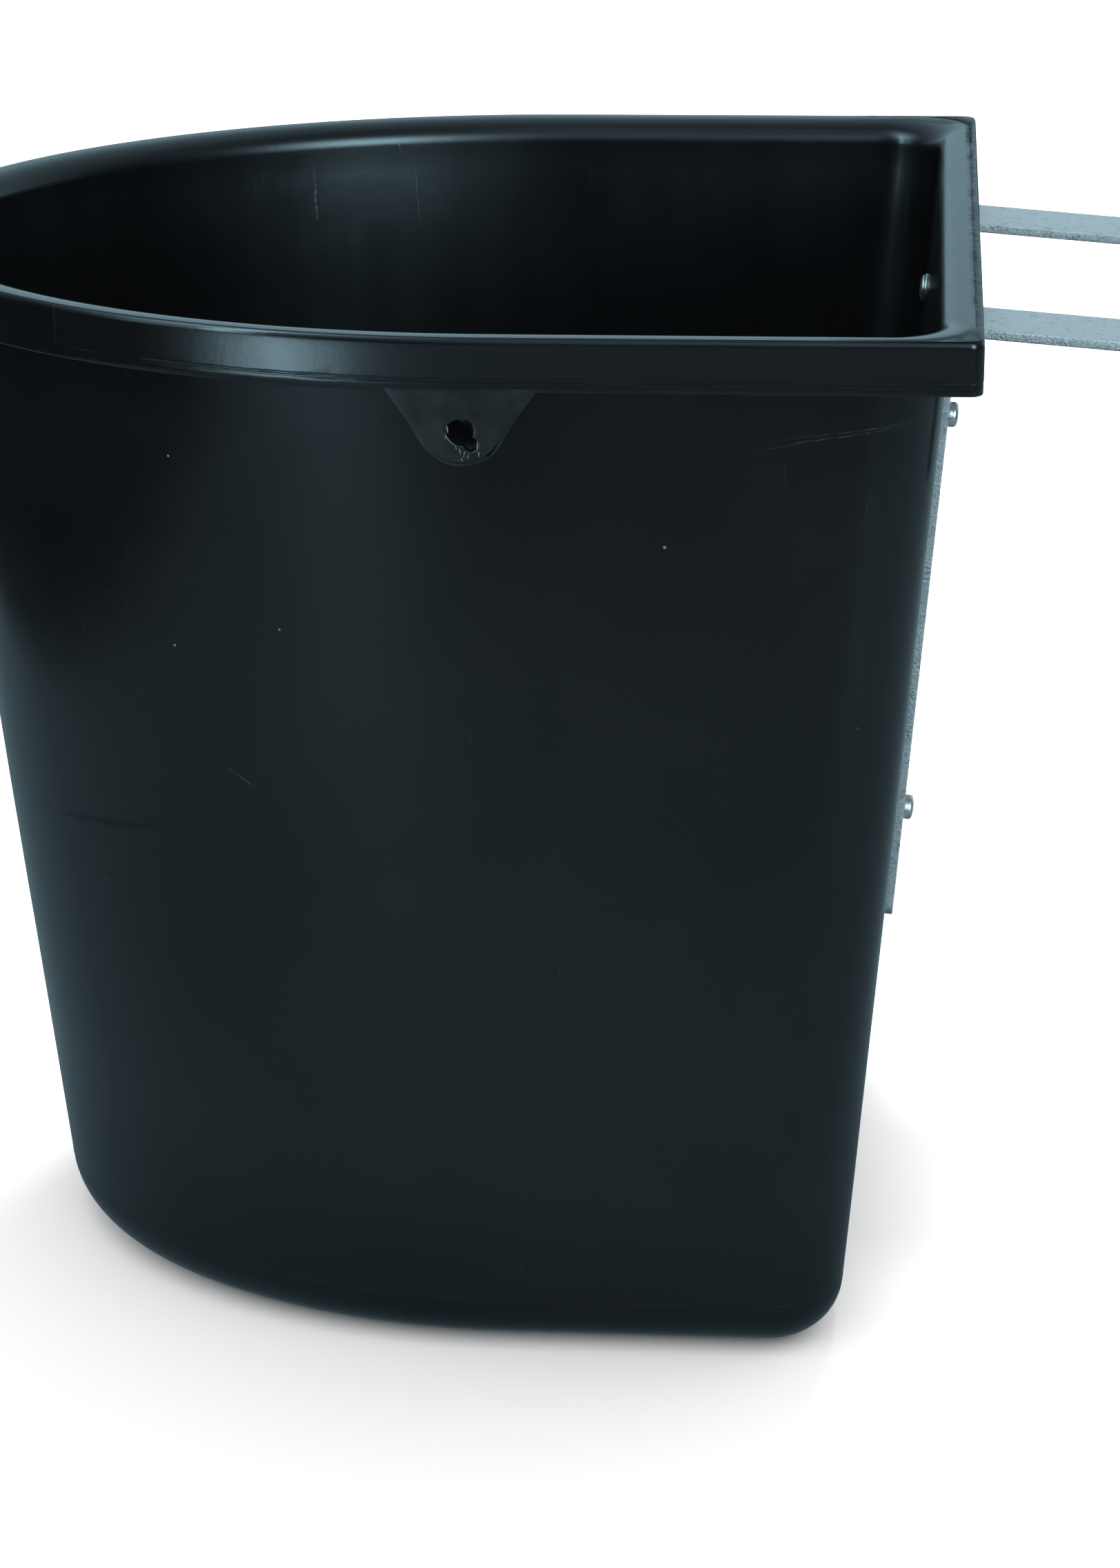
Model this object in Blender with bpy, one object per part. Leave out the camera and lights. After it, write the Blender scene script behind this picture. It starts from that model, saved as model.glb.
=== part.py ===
"""Hanging feed bucket: a D-shaped moulded bucket with two flat steel straps riveted to its flat back.

Metres, +Z up. The origin is on the floor, at the centre of the round front's ellipse. +X points to the
flat back, where the straps hook over a rail or a door, and -X to the round front.
"""

import math

import bmesh
import bpy
from mathutils import Matrix, Vector

MM = 0.001
GAP = 0.3 * MM

# Bucket: the outer wall is a D whose four reaches shrink evenly from the top plane to the floor.
HEIGHT = 335 * MM
LIP_BACK = 141 * MM
LIP_HALF_WIDTH = 165 * MM
LIP_FRONT = 204 * MM
LIP_CORNER = 4 * MM
WALL_INSET = 8.7 * MM
BACK_DRAFT = 0.0911
SIDE_DRAFT = 0.0771
FRONT_DRAFT = 0.1072
WALL_CORNER = 24 * MM
WALL_THICKNESS = 3.5 * MM
FLOOR_THICKNESS = 4.0 * MM
BASE_RADIUS = 19.5 * MM
BASE_START_DEG = 5.0

# Rim: a flat top that rolls down into the bucket, with a skirt turned down outside.
LIP_DEPTH = 16 * MM
LIP_BAND_DEPTH = 12.2 * MM
LIP_BAND_STEP = 0.6 * MM
LIP_EDGE_RADIUS = 1.6 * MM
SKIRT_THICKNESS = 3.4 * MM
RIM_THICKNESS = 4.0 * MM
NOTCH_WIDTH = 32 * MM
ROLL_START = 2.4 * MM
ROLL_DEPTH = 9.0 * MM
ROLL_CORNER = 18 * MM

# Ears: one on each side, hanging from the skirt, each with a keyhole-shaped hole.
EAR_X = -7 * MM
EAR_HALF_WIDTH = 21.7 * MM
EAR_DROP = 21.7 * MM
EAR_RADIUS = 13.5 * MM
EAR_ROOT = 6 * MM
EAR_INSET = 1.2 * MM
EAR_THICKNESS = 2.8 * MM
EAR_HOLE_RADIUS = 3.85 * MM
EAR_HOLE_DROP = 11.5 * MM
EAR_SLOT_RADIUS = 2.1 * MM
EAR_SLOT_OFFSET = (2.9 * MM, -3.6 * MM)

# Straps: flat bar, bent out under the skirt and down again beyond the rail.
STRAP_Y = 73.3 * MM
STRAP_WIDTH = 30 * MM
STRAP_THICKNESS = 3 * MM
STRAP_SLOPE_DEG = 4.7
STRAP_TOP = 320 * MM
STRAP_BEND_RADIUS = 3 * MM
STRAP_FOOT = 132.5 * MM
STRAP_FOOT_CORNER = 3 * MM
THROAT = 55 * MM
HOOK_DROP = 62 * MM
HOOK_CORNER = 8 * MM

# Rivets and the washers behind them. The right strap's upper hole is drilled a little higher.
RIVET_HEIGHTS = {
    ("upper", "left"): 290.5 * MM,
    ("upper", "right"): 294.5 * MM,
    ("lower", "left"): 164.1 * MM,
    ("lower", "right"): 164.1 * MM,
}
SHANK_RADIUS = 2.4 * MM
RIVET_HOLE_RADIUS = 2.75 * MM
OUTER_HEAD_RADIUS = 3.9 * MM
OUTER_HEAD_HEIGHT = 2.9 * MM
OUTER_HEAD_ROUND = 1.2 * MM
INNER_HEAD_RADIUS = 4.3 * MM
INNER_HEAD_HEIGHT = 1.2 * MM
WASHER_RADIUS = 4.7 * MM
WASHER_THICKNESS = 0.9 * MM

# Facets
BACK_STEPS = 5
CORNER_STEPS = 6
SIDE_STEPS = 4
FRONT_STEPS = 22
WALL_STEPS = 5
BASE_STEPS = 6
ROLL_STEPS = 7
EAR_STEPS = 56
TURN_STEPS = 28
BEND_STEPS = 6

SIDES = {"left": -1, "right": 1}


def clear_scene():
    for old in list(bpy.data.objects):
        bpy.data.objects.remove(old, do_unlink=True)


def make_material(name, color, roughness, metallic):
    material = bpy.data.materials.new(name)
    material.use_nodes = True
    shader = material.node_tree.nodes["Principled BSDF"]
    shader.inputs["Base Color"].default_value = (*color, 1)
    shader.inputs["Roughness"].default_value = roughness
    shader.inputs["Metallic"].default_value = metallic
    return material


def make_object(name, mesh_data, material):
    """An object from a bmesh, its faces turned outwards and its round stretches shaded smooth."""
    bmesh.ops.recalc_face_normals(mesh_data, faces=mesh_data.faces)
    mesh = bpy.data.meshes.new(name)
    mesh_data.to_mesh(mesh)
    mesh_data.free()
    mesh.shade_smooth()
    mesh.set_sharp_from_angle(angle=math.radians(35))
    mesh.materials.append(material)
    item = bpy.data.objects.new(name, mesh)
    bpy.context.scene.collection.objects.link(item)
    return item


def join_shape(target, other, operation):
    """Adds a Boolean of another shape, which becomes a hidden helper."""
    other.hide_render = True
    other.display_type = "WIRE"
    boolean = target.modifiers.new(other.name, "BOOLEAN")
    boolean.operation = operation
    boolean.object = other


# ---------------------------------------------------------------- the D outline


def wall_reaches(z):
    """Back, half width and front reach of the outer wall at a height, with its corner radius."""
    drop = HEIGHT - z
    back = LIP_BACK - WALL_INSET - BACK_DRAFT * drop
    half_width = LIP_HALF_WIDTH - WALL_INSET - SIDE_DRAFT * drop
    front = LIP_FRONT - WALL_INSET - FRONT_DRAFT * drop
    return back, half_width, front, WALL_CORNER


def lip_reaches(inset):
    corner = max(LIP_CORNER - inset, 0.6 * MM)
    return LIP_BACK - inset, LIP_HALF_WIDTH - inset, LIP_FRONT - inset, corner


def inset_reaches(reaches, inset, smallest_corner=1 * MM):
    back, half_width, front, corner = reaches
    return back - inset, half_width - inset, front - inset, max(corner - inset, smallest_corner)


def blend_reaches(first, second, share):
    return tuple(a + (b - a) * share for a, b in zip(first, second))


def half_outline(reaches):
    """Points from the middle of the back round the +Y side to the tip of the front."""
    back, half_width, front, corner = reaches
    points = []
    for step in range(BACK_STEPS):
        points.append((back, (half_width - corner) * step / BACK_STEPS))
    for step in range(CORNER_STEPS + 1):
        turn = math.radians(90) * step / CORNER_STEPS
        x = back - corner + corner * math.cos(turn)
        y = half_width - corner + corner * math.sin(turn)
        points.append((x, y))
    for step in range(1, SIDE_STEPS):
        points.append(((back - corner) * (1 - step / SIDE_STEPS), half_width))
    for step in range(FRONT_STEPS + 1):
        turn = math.radians(90) * step / FRONT_STEPS
        points.append((-front * math.sin(turn), half_width * math.cos(turn)))
    return points


def outline(reaches):
    half = half_outline(reaches)
    mirrored = [(x, -y) for x, y in reversed(half[1:-1])]
    return half + mirrored


# ---------------------------------------------------------------- bucket


def base_levels():
    """Outer levels from the floor up round the base edge to the wall: (reaches, height)."""
    start = math.radians(BASE_START_DEG)
    top = BASE_RADIUS * (1 - math.sin(start))
    levels = []
    for step in range(BASE_STEPS + 1):
        turn = math.radians(90) + (start - math.radians(90)) * step / BASE_STEPS
        inset = BASE_RADIUS * (math.cos(start) - math.cos(turn))
        levels.append((inset_reaches(wall_reaches(top), inset), BASE_RADIUS * (1 - math.sin(turn))))
    return levels


def wall_levels(bottom, top):
    heights = [bottom + (top - bottom) * step / WALL_STEPS for step in range(1, WALL_STEPS + 1)]
    return [(wall_reaches(z), z) for z in heights]


def rim_levels():
    """From under the rim, down inside the skirt, round its foot and up its face to the top."""
    web = HEIGHT - RIM_THICKNESS
    foot = HEIGHT - LIP_DEPTH
    band = HEIGHT - LIP_BAND_DEPTH
    shoulder = HEIGHT - LIP_EDGE_RADIUS
    tucked = LIP_EDGE_RADIUS * (1 - math.sqrt(0.5))
    return [
        (inset_reaches(wall_reaches(web), -1 * MM), web),
        (lip_reaches(SKIRT_THICKNESS + 0.5 * MM), web),
        (lip_reaches(SKIRT_THICKNESS), web - 0.6 * MM),
        (lip_reaches(SKIRT_THICKNESS), foot),
        (lip_reaches(LIP_BAND_STEP), foot),
        (lip_reaches(LIP_BAND_STEP), band),
        (lip_reaches(0), band),
        (lip_reaches(0), shoulder),
        (lip_reaches(tucked), HEIGHT - tucked),
        (lip_reaches(LIP_EDGE_RADIUS), HEIGHT),
    ]


def roll_levels():
    """The rolled inner edge, a quarter ellipse from the flat top down to the inner wall."""
    outer = (*lip_reaches(ROLL_START)[:3], ROLL_CORNER)
    inner = inset_reaches(wall_reaches(HEIGHT - ROLL_DEPTH), WALL_THICKNESS)
    levels = []
    for step in range(ROLL_STEPS + 1):
        turn = math.radians(90) * step / ROLL_STEPS
        drop = ROLL_DEPTH * (1 - math.cos(turn))
        levels.append((blend_reaches(outer, inner, math.sin(turn)), HEIGHT - drop))
    return levels


def inner_levels():
    """The inside, from the rolled edge down the wall and round to the floor."""
    levels = []
    radius = BASE_RADIUS - WALL_THICKNESS
    start = math.radians(BASE_START_DEG)
    bottom = FLOOR_THICKNESS + radius * (1 - math.sin(start))
    top = HEIGHT - ROLL_DEPTH
    for step in range(1, WALL_STEPS + 1):
        z = top + (bottom - top) * step / WALL_STEPS
        levels.append((inset_reaches(wall_reaches(z), WALL_THICKNESS), z))
    wall = inset_reaches(wall_reaches(bottom), WALL_THICKNESS)
    for step in range(1, BASE_STEPS + 1):
        turn = start + (math.radians(90) - start) * step / BASE_STEPS
        inset = radius * (math.cos(start) - math.cos(turn))
        z = FLOOR_THICKNESS + radius * (1 - math.sin(turn))
        levels.append((inset_reaches(wall, inset), z))
    return levels


def loft(levels):
    """A closed bmesh through the outlines of the levels, capped at the first and the last."""
    mesh_data = bmesh.new()
    rings = []
    for reaches, z in levels:
        rings.append([mesh_data.verts.new((x, y, z)) for x, y in outline(reaches)])
    for lower, upper in zip(rings, rings[1:]):
        for i in range(len(lower)):
            j = (i + 1) % len(lower)
            mesh_data.faces.new((lower[i], lower[j], upper[j], upper[i]))
    mesh_data.faces.new(rings[0])
    mesh_data.faces.new(rings[-1])
    return mesh_data


def make_bucket_body(material):
    base = base_levels()
    under_rim = HEIGHT - RIM_THICKNESS - 2 * MM
    levels = base + wall_levels(base[-1][1], under_rim)
    levels += rim_levels() + roll_levels() + inner_levels()
    return make_object("bucket_shell", loft(levels), material)


def ear_edge(turn):
    """Distance from the ear's arc centre to its edge, in a direction measured from straight down."""
    top = EAR_DROP - EAR_RADIUS + EAR_ROOT
    shoulder = EAR_DROP - EAR_RADIUS
    reach = math.hypot(EAR_HALF_WIDTH, shoulder)
    tangent = math.atan2(EAR_HALF_WIDTH, -shoulder) - math.acos(EAR_RADIUS / reach)
    turn = abs(turn)
    if turn <= tangent:
        return EAR_RADIUS
    # The straight flank leaves the arc square to its radius; above it the root is square-sided.
    corner = math.atan2(EAR_HALF_WIDTH, -shoulder)
    if turn <= corner:
        return EAR_RADIUS / math.cos(turn - tangent)
    root_corner = math.atan2(EAR_HALF_WIDTH, -top)
    if turn <= root_corner:
        return EAR_HALF_WIDTH / math.sin(turn)
    return top / -math.cos(turn)


def lip_side(x, inset):
    """Half width of the lip at a distance along X, on the straight side or on the round front."""
    if x >= 0:
        return LIP_HALF_WIDTH - inset
    return (LIP_HALF_WIDTH - inset) * math.sqrt(1 - (x / (LIP_FRONT - inset)) ** 2)


def make_ear(name, side, material):
    """An ear bent to the lip's curve, ringed round its hole so that no facet spans it."""
    mesh_data = bmesh.new()
    arc_z = HEIGHT - LIP_DEPTH - EAR_DROP + EAR_RADIUS
    hole = Vector((EAR_X, HEIGHT - LIP_DEPTH - EAR_HOLE_DROP))
    loops = []
    for inset in (EAR_INSET, EAR_INSET + EAR_THICKNESS):
        for share in (0.0, 0.5, 1.0):
            ring = []
            for step in range(EAR_STEPS):
                turn = math.tau * step / EAR_STEPS
                signed = turn if turn <= math.pi else turn - math.tau
                way = Vector((math.sin(turn), -math.cos(turn)))
                rim = hole + EAR_HOLE_RADIUS * way
                edge = Vector((EAR_X, arc_z)) + ear_edge(signed) * way
                x, z = rim.lerp(edge, share)
                ring.append(mesh_data.verts.new((x, side * lip_side(x, inset), z)))
            loops.append(ring)
    order = [loops[0], loops[1], loops[2], loops[5], loops[4], loops[3], loops[0]]
    for first, second in zip(order, order[1:]):
        for i in range(EAR_STEPS):
            j = (i + 1) % EAR_STEPS
            mesh_data.faces.new((first[i], first[j], second[j], second[i]))
    return make_object(name, mesh_data, material)


def make_cylinder(name, radius, length, place, material):
    """A plain cylinder along its own Z, centred on a placement matrix."""
    mesh_data = bmesh.new()
    bmesh.ops.create_cone(
        mesh_data, cap_ends=True, segments=TURN_STEPS, radius1=radius, radius2=radius, depth=length
    )
    bmesh.ops.transform(mesh_data, matrix=place, verts=mesh_data.verts)
    return make_object(name, mesh_data, material)


def make_notch(name, side, material):
    """A cutter for the shallow notch in the skirt's foot that a strap passes through."""
    mesh_data = bmesh.new()
    top = STRAP_TOP + GAP + 0.1 * MM
    bottom = HEIGHT - LIP_DEPTH - 2 * MM
    size = (2 * SKIRT_THICKNESS, NOTCH_WIDTH, top - bottom)
    place = Matrix.Translation((LIP_BACK - SKIRT_THICKNESS / 2, side * STRAP_Y, (top + bottom) / 2))
    bmesh.ops.create_cube(mesh_data, size=1, matrix=place @ Matrix.Diagonal((*size, 1)))
    return make_object(f"skirt_notch_{name}", mesh_data, material)


def make_bucket(material):
    bucket = make_bucket_body(material)
    for name, side in SIDES.items():
        ear = make_ear(f"ear_{name}", side, material)
        join_shape(bucket, ear, "UNION")
        slot_x = EAR_X + EAR_SLOT_OFFSET[0]
        slot_z = HEIGHT - LIP_DEPTH - EAR_HOLE_DROP + EAR_SLOT_OFFSET[1]
        slot_y = side * (LIP_HALF_WIDTH - EAR_INSET - EAR_THICKNESS / 2)
        place = Matrix.Translation((slot_x, slot_y, slot_z)) @ Matrix.Rotation(math.pi / 2, 4, "X")
        slot = make_cylinder(f"ear_slot_{name}", EAR_SLOT_RADIUS, 5 * EAR_THICKNESS / 2, place, material)
        join_shape(bucket, slot, "DIFFERENCE")
        join_shape(bucket, make_notch(name, side, material), "DIFFERENCE")
    for level, strap in RIVET_HEIGHTS:
        place = rivet_place(level, strap)
        hole = make_cylinder(f"wall_hole_{level}_{strap}", RIVET_HOLE_RADIUS, 30 * MM, place, material)
        join_shape(bucket, hole, "DIFFERENCE")
    return bucket


# ---------------------------------------------------------------- straps


def wall_back(z):
    return wall_reaches(z)[0]


def back_tilt():
    """Angle between the back wall's outward normal and +X, downwards."""
    return math.atan(BACK_DRAFT)


def arc_points(center, radius, start, end):
    """Points of an arc in the XZ plane, with both ends."""
    points = []
    for step in range(BEND_STEPS + 1):
        turn = start + (end - start) * step / BEND_STEPS
        points.append(center + radius * Vector((math.cos(turn), math.sin(turn))))
    return points


def strap_path():
    """The strap's centre line in the XZ plane, from its foot to the end of its hook."""
    tilt = back_tilt()
    slope = math.radians(STRAP_SLOPE_DEG)
    radius = STRAP_BEND_RADIUS + STRAP_THICKNESS / 2
    up = Vector((math.sin(tilt), math.cos(tilt)))
    out = Vector((math.cos(slope), -math.sin(slope)))
    down = Vector((0, -1))
    wall_normal = Vector((math.cos(tilt), -math.sin(tilt)))
    foot = Vector((wall_back(STRAP_FOOT), STRAP_FOOT)) + (GAP + STRAP_THICKNESS / 2) * wall_normal
    # The centre line under the strap's top face crosses the lip's back plane at this point.
    over = Vector((LIP_BACK, STRAP_TOP)) - STRAP_THICKNESS / 2 * Vector((math.sin(slope), math.cos(slope)))
    bend_corner = crossing(foot, up, over, out)
    hook_corner_x = LIP_BACK + THROAT + STRAP_THICKNESS / 2
    hook_corner = over + out * ((hook_corner_x - over.x) / out.x)
    end = hook_corner + HOOK_DROP * down
    path = [foot]
    path += rounded_corner(bend_corner, up, out, radius)
    path += rounded_corner(hook_corner, out, down, radius)
    path.append(end)
    return path


def crossing(point, way, other_point, other_way):
    """Where two lines in a plane cross."""
    gap = other_point - point
    share = gap.cross(other_way) / way.cross(other_way)
    return point + share * way


def rounded_corner(corner, arriving, leaving, radius):
    """An arc of right-hand turn that replaces the corner between two straight runs."""
    turn = arriving.angle(leaving)
    setback = radius * math.tan(turn / 2)
    right = Vector((arriving.y, -arriving.x))
    center = corner - setback * arriving + radius * right
    start = math.atan2(-right.y, -right.x)
    return arc_points(center, radius, start, start - turn)


def strap_sections(path):
    """Unit normals on the left of each point of the path, square to it at the ends and mitred between."""
    normals = []
    for index in range(len(path)):
        before = path[index] - path[max(index - 1, 0)]
        after = path[min(index + 1, len(path) - 1)] - path[index]
        way = Vector((0, 0))
        for piece in (before, after):
            if piece.length > 0:
                way += piece.normalized()
        way.normalize()
        normals.append(Vector((-way.y, way.x)))
    return normals


def rounded_end(width, corner, steps=4):
    """(distance back from the end, half width) pairs that round off the two corners of a bar's end."""
    pairs = []
    for step in range(steps + 1):
        turn = math.radians(90) * step / steps
        pairs.append((corner * (1 - math.sin(turn)), width / 2 - corner * (1 - math.cos(turn))))
    return pairs


def make_strap(name, side, material):
    """The bar as stations along its path, each a rectangle of four points, narrowed at both ends."""
    path = strap_path()
    first_way = (path[1] - path[0]).normalized()
    last_way = (path[-1] - path[-2]).normalized()
    normals = strap_sections(path)
    stations = []
    for back, half in reversed(rounded_end(STRAP_WIDTH, STRAP_FOOT_CORNER)):
        stations.append((path[0] + back * first_way, normals[0], half))
    for point, normal in zip(path[1:-1], normals[1:-1]):
        stations.append((point, normal, STRAP_WIDTH / 2))
    for back, half in rounded_end(STRAP_WIDTH, HOOK_CORNER):
        stations.append((path[-1] - back * last_way, normals[-1], half))
    mesh_data = bmesh.new()
    rings = []
    for point, normal, half in stations:
        outer = point + normal * STRAP_THICKNESS / 2
        inner = point - normal * STRAP_THICKNESS / 2
        corners = [(outer, -half), (outer, half), (inner, half), (inner, -half)]
        y = side * STRAP_Y
        rings.append([mesh_data.verts.new((p.x, y + across, p.y)) for p, across in corners])
    for lower, upper in zip(rings, rings[1:]):
        for i in range(4):
            j = (i + 1) % 4
            mesh_data.faces.new((lower[i], lower[j], upper[j], upper[i]))
    mesh_data.faces.new(rings[0])
    mesh_data.faces.new(rings[-1])
    strap = make_object(f"hanger_strap_{name}", mesh_data, material)
    for level in ("upper", "lower"):
        place = rivet_place(level, name)
        hole = make_cylinder(f"strap_hole_{level}_{name}", RIVET_HOLE_RADIUS, 12 * MM, place, material)
        join_shape(strap, hole, "DIFFERENCE")
    return strap


# ---------------------------------------------------------------- rivets


def rivet_place(level, strap):
    """A rivet's frame: its origin on the wall's outer face, its Z square to the wall and outwards."""
    z = RIVET_HEIGHTS[(level, strap)]
    spot = Vector((wall_back(z), SIDES[strap] * STRAP_Y, z))
    return Matrix.Translation(spot) @ Matrix.Rotation(math.pi / 2 + back_tilt(), 4, "Y")


def turned(profile, place):
    """A bmesh turned about Z from (radius, height) points. A point on the axis closes an end."""
    mesh_data = bmesh.new()
    rings = []
    for radius, height in profile:
        if radius == 0:
            rings.append([mesh_data.verts.new((0, 0, height))])
            continue
        ring = []
        for step in range(TURN_STEPS):
            turn = math.tau * step / TURN_STEPS
            ring.append(mesh_data.verts.new((radius * math.cos(turn), radius * math.sin(turn), height)))
        rings.append(ring)
    for first, second in zip(rings, rings[1:]):
        for i in range(TURN_STEPS):
            j = (i + 1) % TURN_STEPS
            if len(first) == 1:
                mesh_data.faces.new((first[0], second[i], second[j]))
            elif len(second) == 1:
                mesh_data.faces.new((first[i], first[j], second[0]))
            else:
                mesh_data.faces.new((first[i], first[j], second[j], second[i]))
    bmesh.ops.transform(mesh_data, matrix=place, verts=mesh_data.verts)
    return mesh_data


def make_rivet(level, strap, material):
    """A rivet whose pan head bears on the strap and whose domed head bears on the washer."""
    seat = 2 * GAP + STRAP_THICKNESS
    crown = seat + OUTER_HEAD_HEIGHT
    washer_face = -WALL_THICKNESS - 2 * GAP - WASHER_THICKNESS
    profile = [(0, crown)]
    for step in range(5):
        turn = math.radians(90) * step / 4
        radius = OUTER_HEAD_RADIUS - OUTER_HEAD_ROUND * (1 - math.sin(turn))
        height = crown - 0.25 * MM - OUTER_HEAD_ROUND * (1 - math.cos(turn))
        profile.append((radius, height))
    profile.append((OUTER_HEAD_RADIUS, seat))
    profile.append((SHANK_RADIUS, seat))
    profile.append((SHANK_RADIUS, washer_face))
    profile.append((INNER_HEAD_RADIUS, washer_face))
    for step in range(1, 5):
        turn = math.radians(90) * step / 5
        profile.append((INNER_HEAD_RADIUS * math.cos(turn), washer_face - INNER_HEAD_HEIGHT * math.sin(turn)))
    profile.append((0, washer_face - INNER_HEAD_HEIGHT))
    return make_object(f"rivet_{level}_{strap}", turned(profile, rivet_place(level, strap)), material)


def make_washer(level, strap, material):
    near = -WALL_THICKNESS - GAP
    far = near - WASHER_THICKNESS
    bore = RIVET_HOLE_RADIUS
    profile = [(bore, near), (WASHER_RADIUS, near), (WASHER_RADIUS, far), (bore, far), (bore, near)]
    mesh_data = turned(profile, rivet_place(level, strap))
    bmesh.ops.remove_doubles(mesh_data, verts=mesh_data.verts, dist=0.001 * MM)
    return make_object(f"washer_{level}_{strap}", mesh_data, material)


def main():
    clear_scene()
    plastic = make_material("black_polyethylene", (0.012, 0.016, 0.018), 0.28, 0.0)
    make_bucket(plastic)
    for name, side in SIDES.items():
        zinc = make_material(f"zinc_plate_{name}", (0.58, 0.62, 0.64), 0.38, 1.0)
        make_strap(name, side, zinc)
    for level, strap in RIVET_HEIGHTS:
        aluminium = make_material(f"rivet_metal_{level}_{strap}", (0.66, 0.67, 0.68), 0.3, 1.0)
        make_rivet(level, strap, aluminium)
        steel = make_material(f"washer_metal_{level}_{strap}", (0.52, 0.53, 0.54), 0.35, 1.0)
        make_washer(level, strap, steel)


main()
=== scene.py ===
"""Looks for the hanging feed bucket: a moulded black tub, zinc-plated straps, rivets and washers.

Metres, +Z up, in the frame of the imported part: the origin is on the floor, +X points to the flat back.
"""

import math
import random

import bmesh
import bpy
from mathutils import Matrix, Vector, noise


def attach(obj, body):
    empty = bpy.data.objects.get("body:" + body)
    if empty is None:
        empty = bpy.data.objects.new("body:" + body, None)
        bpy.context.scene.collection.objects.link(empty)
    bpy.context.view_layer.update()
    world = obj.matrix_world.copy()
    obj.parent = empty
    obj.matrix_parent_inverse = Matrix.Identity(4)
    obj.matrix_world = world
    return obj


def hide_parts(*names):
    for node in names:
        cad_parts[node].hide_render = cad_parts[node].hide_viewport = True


MM = 0.001

# Camera
CAMERA_PLACE = (0.12239, -1.36471, 0.63089)
CAMERA_PITCH_DEG = 19.604
CAMERA_YAW_DEG = 4.861
CAMERA_ROLL_DEG = -0.671
CAMERA_LENS = 100.647

# Bucket, as in the part
HEIGHT = 335 * MM
LIP_BACK = 141 * MM
LIP_HALF_WIDTH = 165 * MM
LIP_FRONT = 204 * MM
LIP_CORNER = 4 * MM
WALL_INSET = 8.7 * MM
BACK_DRAFT = 0.0911
SIDE_DRAFT = 0.0771
FRONT_DRAFT = 0.1072
WALL_CORNER = 24 * MM
WALL_THICKNESS = 3.5 * MM
FLOOR_THICKNESS = 4.0 * MM
BASE_RADIUS = 19.5 * MM
BASE_START_DEG = 5.0
RIM_ZONE = HEIGHT - 20 * MM
LIP_DEPTH = 16 * MM
LIP_BAND_DEPTH = 12.2 * MM
LIP_BAND_STEP = 0.2 * MM
LIP_SIDE_ROUND = 1.0 * MM
LIP_BACK_ROUND = 0.9 * MM
LIP_ROUND_DEPTH = 2.2 * MM
SKIRT_THICKNESS = 3.4 * MM
RIM_THICKNESS = 4.0 * MM
NOTCH_WIDTH = 32 * MM
ROLL_START = 2.4 * MM
ROLL_DEPTH = 9.0 * MM
ROLL_CORNER = 18 * MM
ROLL_FULLNESS = 0.72
PARTING_RINGS = 5
EAR_X = -7 * MM
EAR_HALF_WIDTH = 21.7 * MM
EAR_DROP = 21.7 * MM
EAR_RADIUS = 13.5 * MM
EAR_ROOT = 3.7 * MM
EAR_FLARE = 2.2 * MM
EAR_INSET = 0.2 * MM
EAR_THICKNESS = 2.8 * MM
EAR_HOLE_RADIUS = 3.85 * MM
EAR_HOLE_DROP = 11.5 * MM
EAR_SLOT_RADIUS = 2.1 * MM
EAR_SLOT_OFFSET = (2.9 * MM, -3.6 * MM)

# Straps, as in the part
GAP = 0.3 * MM
STRAP_Y = 73.3 * MM
STRAP_WIDTH = 30 * MM
STRAP_THICKNESS = 3 * MM
STRAP_EDGE_ROLL = 0.45 * MM
STRAP_SLOPE_DEG = 4.7
STRAP_TOP = 320 * MM
STRAP_BEND_RADIUS = 3 * MM
STRAP_FOOT = 132.5 * MM
STRAP_FOOT_CORNER = 3 * MM
THROAT = 55 * MM
HOOK_DROP = 62 * MM
HOOK_CORNER = 8 * MM
RIVET_HEIGHTS = {
    ("upper", "left"): 290.5 * MM,
    ("upper", "right"): 294.5 * MM,
    ("lower", "left"): 164.1 * MM,
    ("lower", "right"): 164.1 * MM,
}
OUTER_HEAD_RADIUS = 3.9 * MM
OUTER_HEAD_HEIGHT = 2.9 * MM
OUTER_HEAD_ROUND = 1.2 * MM
INNER_HEAD_RADIUS = 4.3 * MM
INNER_HEAD_HEIGHT = 1.2 * MM
SHANK_RADIUS = 2.4 * MM
WASHER_RADIUS = 4.7 * MM
WASHER_THICKNESS = 0.9 * MM

SIDES = {"left": -1, "right": 1}

# The studio's cool light, as the reflections see it
STUDIO_TINT = (0.665, 1.05, 1.24)

# Tall softboxes: (x and y of the way across each one, its half width as a sine, its brightness)
TALL_SOFTBOXES = ((-0.714, 0.70, 0.045, 10.0), (-0.53, 0.848, 0.1, 1.5))

# Broad softboxes: (the way to the middle, how much narrower across, its spread, its brightness)
BROAD_SOFTBOXES = (
    ((-0.55, -0.45, 0.66), 1.0, 0.34, 3.2),
    ((0.1, -0.9, 0.36), 1.0, 0.26, 0.9),
    ((0.45, -0.84, 0.26), 1.6, 0.28, 11.5),
)

# Patches of light on the reflected floor: (x and y of the middle, its spread, its brightness)
FAINT_PATCH = (0.36, -0.55, 0.16, 0.13)
BRIGHT_PATCH = (-0.8, -1.17, 0.21, 8.0)

CARD_RADIUS = 7.0
CARD_DROP = 0.1 * MM
FLOOR_SIZE = 9.0
FLOOR_DROP = 0.2 * MM
WORLD_STRENGTH = 1.5
TOP_SOFTBOX_PLACE = (0.1, 0.6, 2.4)
TOP_SOFTBOX_TARGET = (0, 0, 0.1)
TOP_SOFTBOX_SIZE = (0.7, 0.7)
TOP_SOFTBOX_POWER = 75

# Smoothness of the looks
BACK_STEPS = 110
CORNER_STEPS = 14
SIDE_STEPS = 34
FRONT_STEPS = 110


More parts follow.
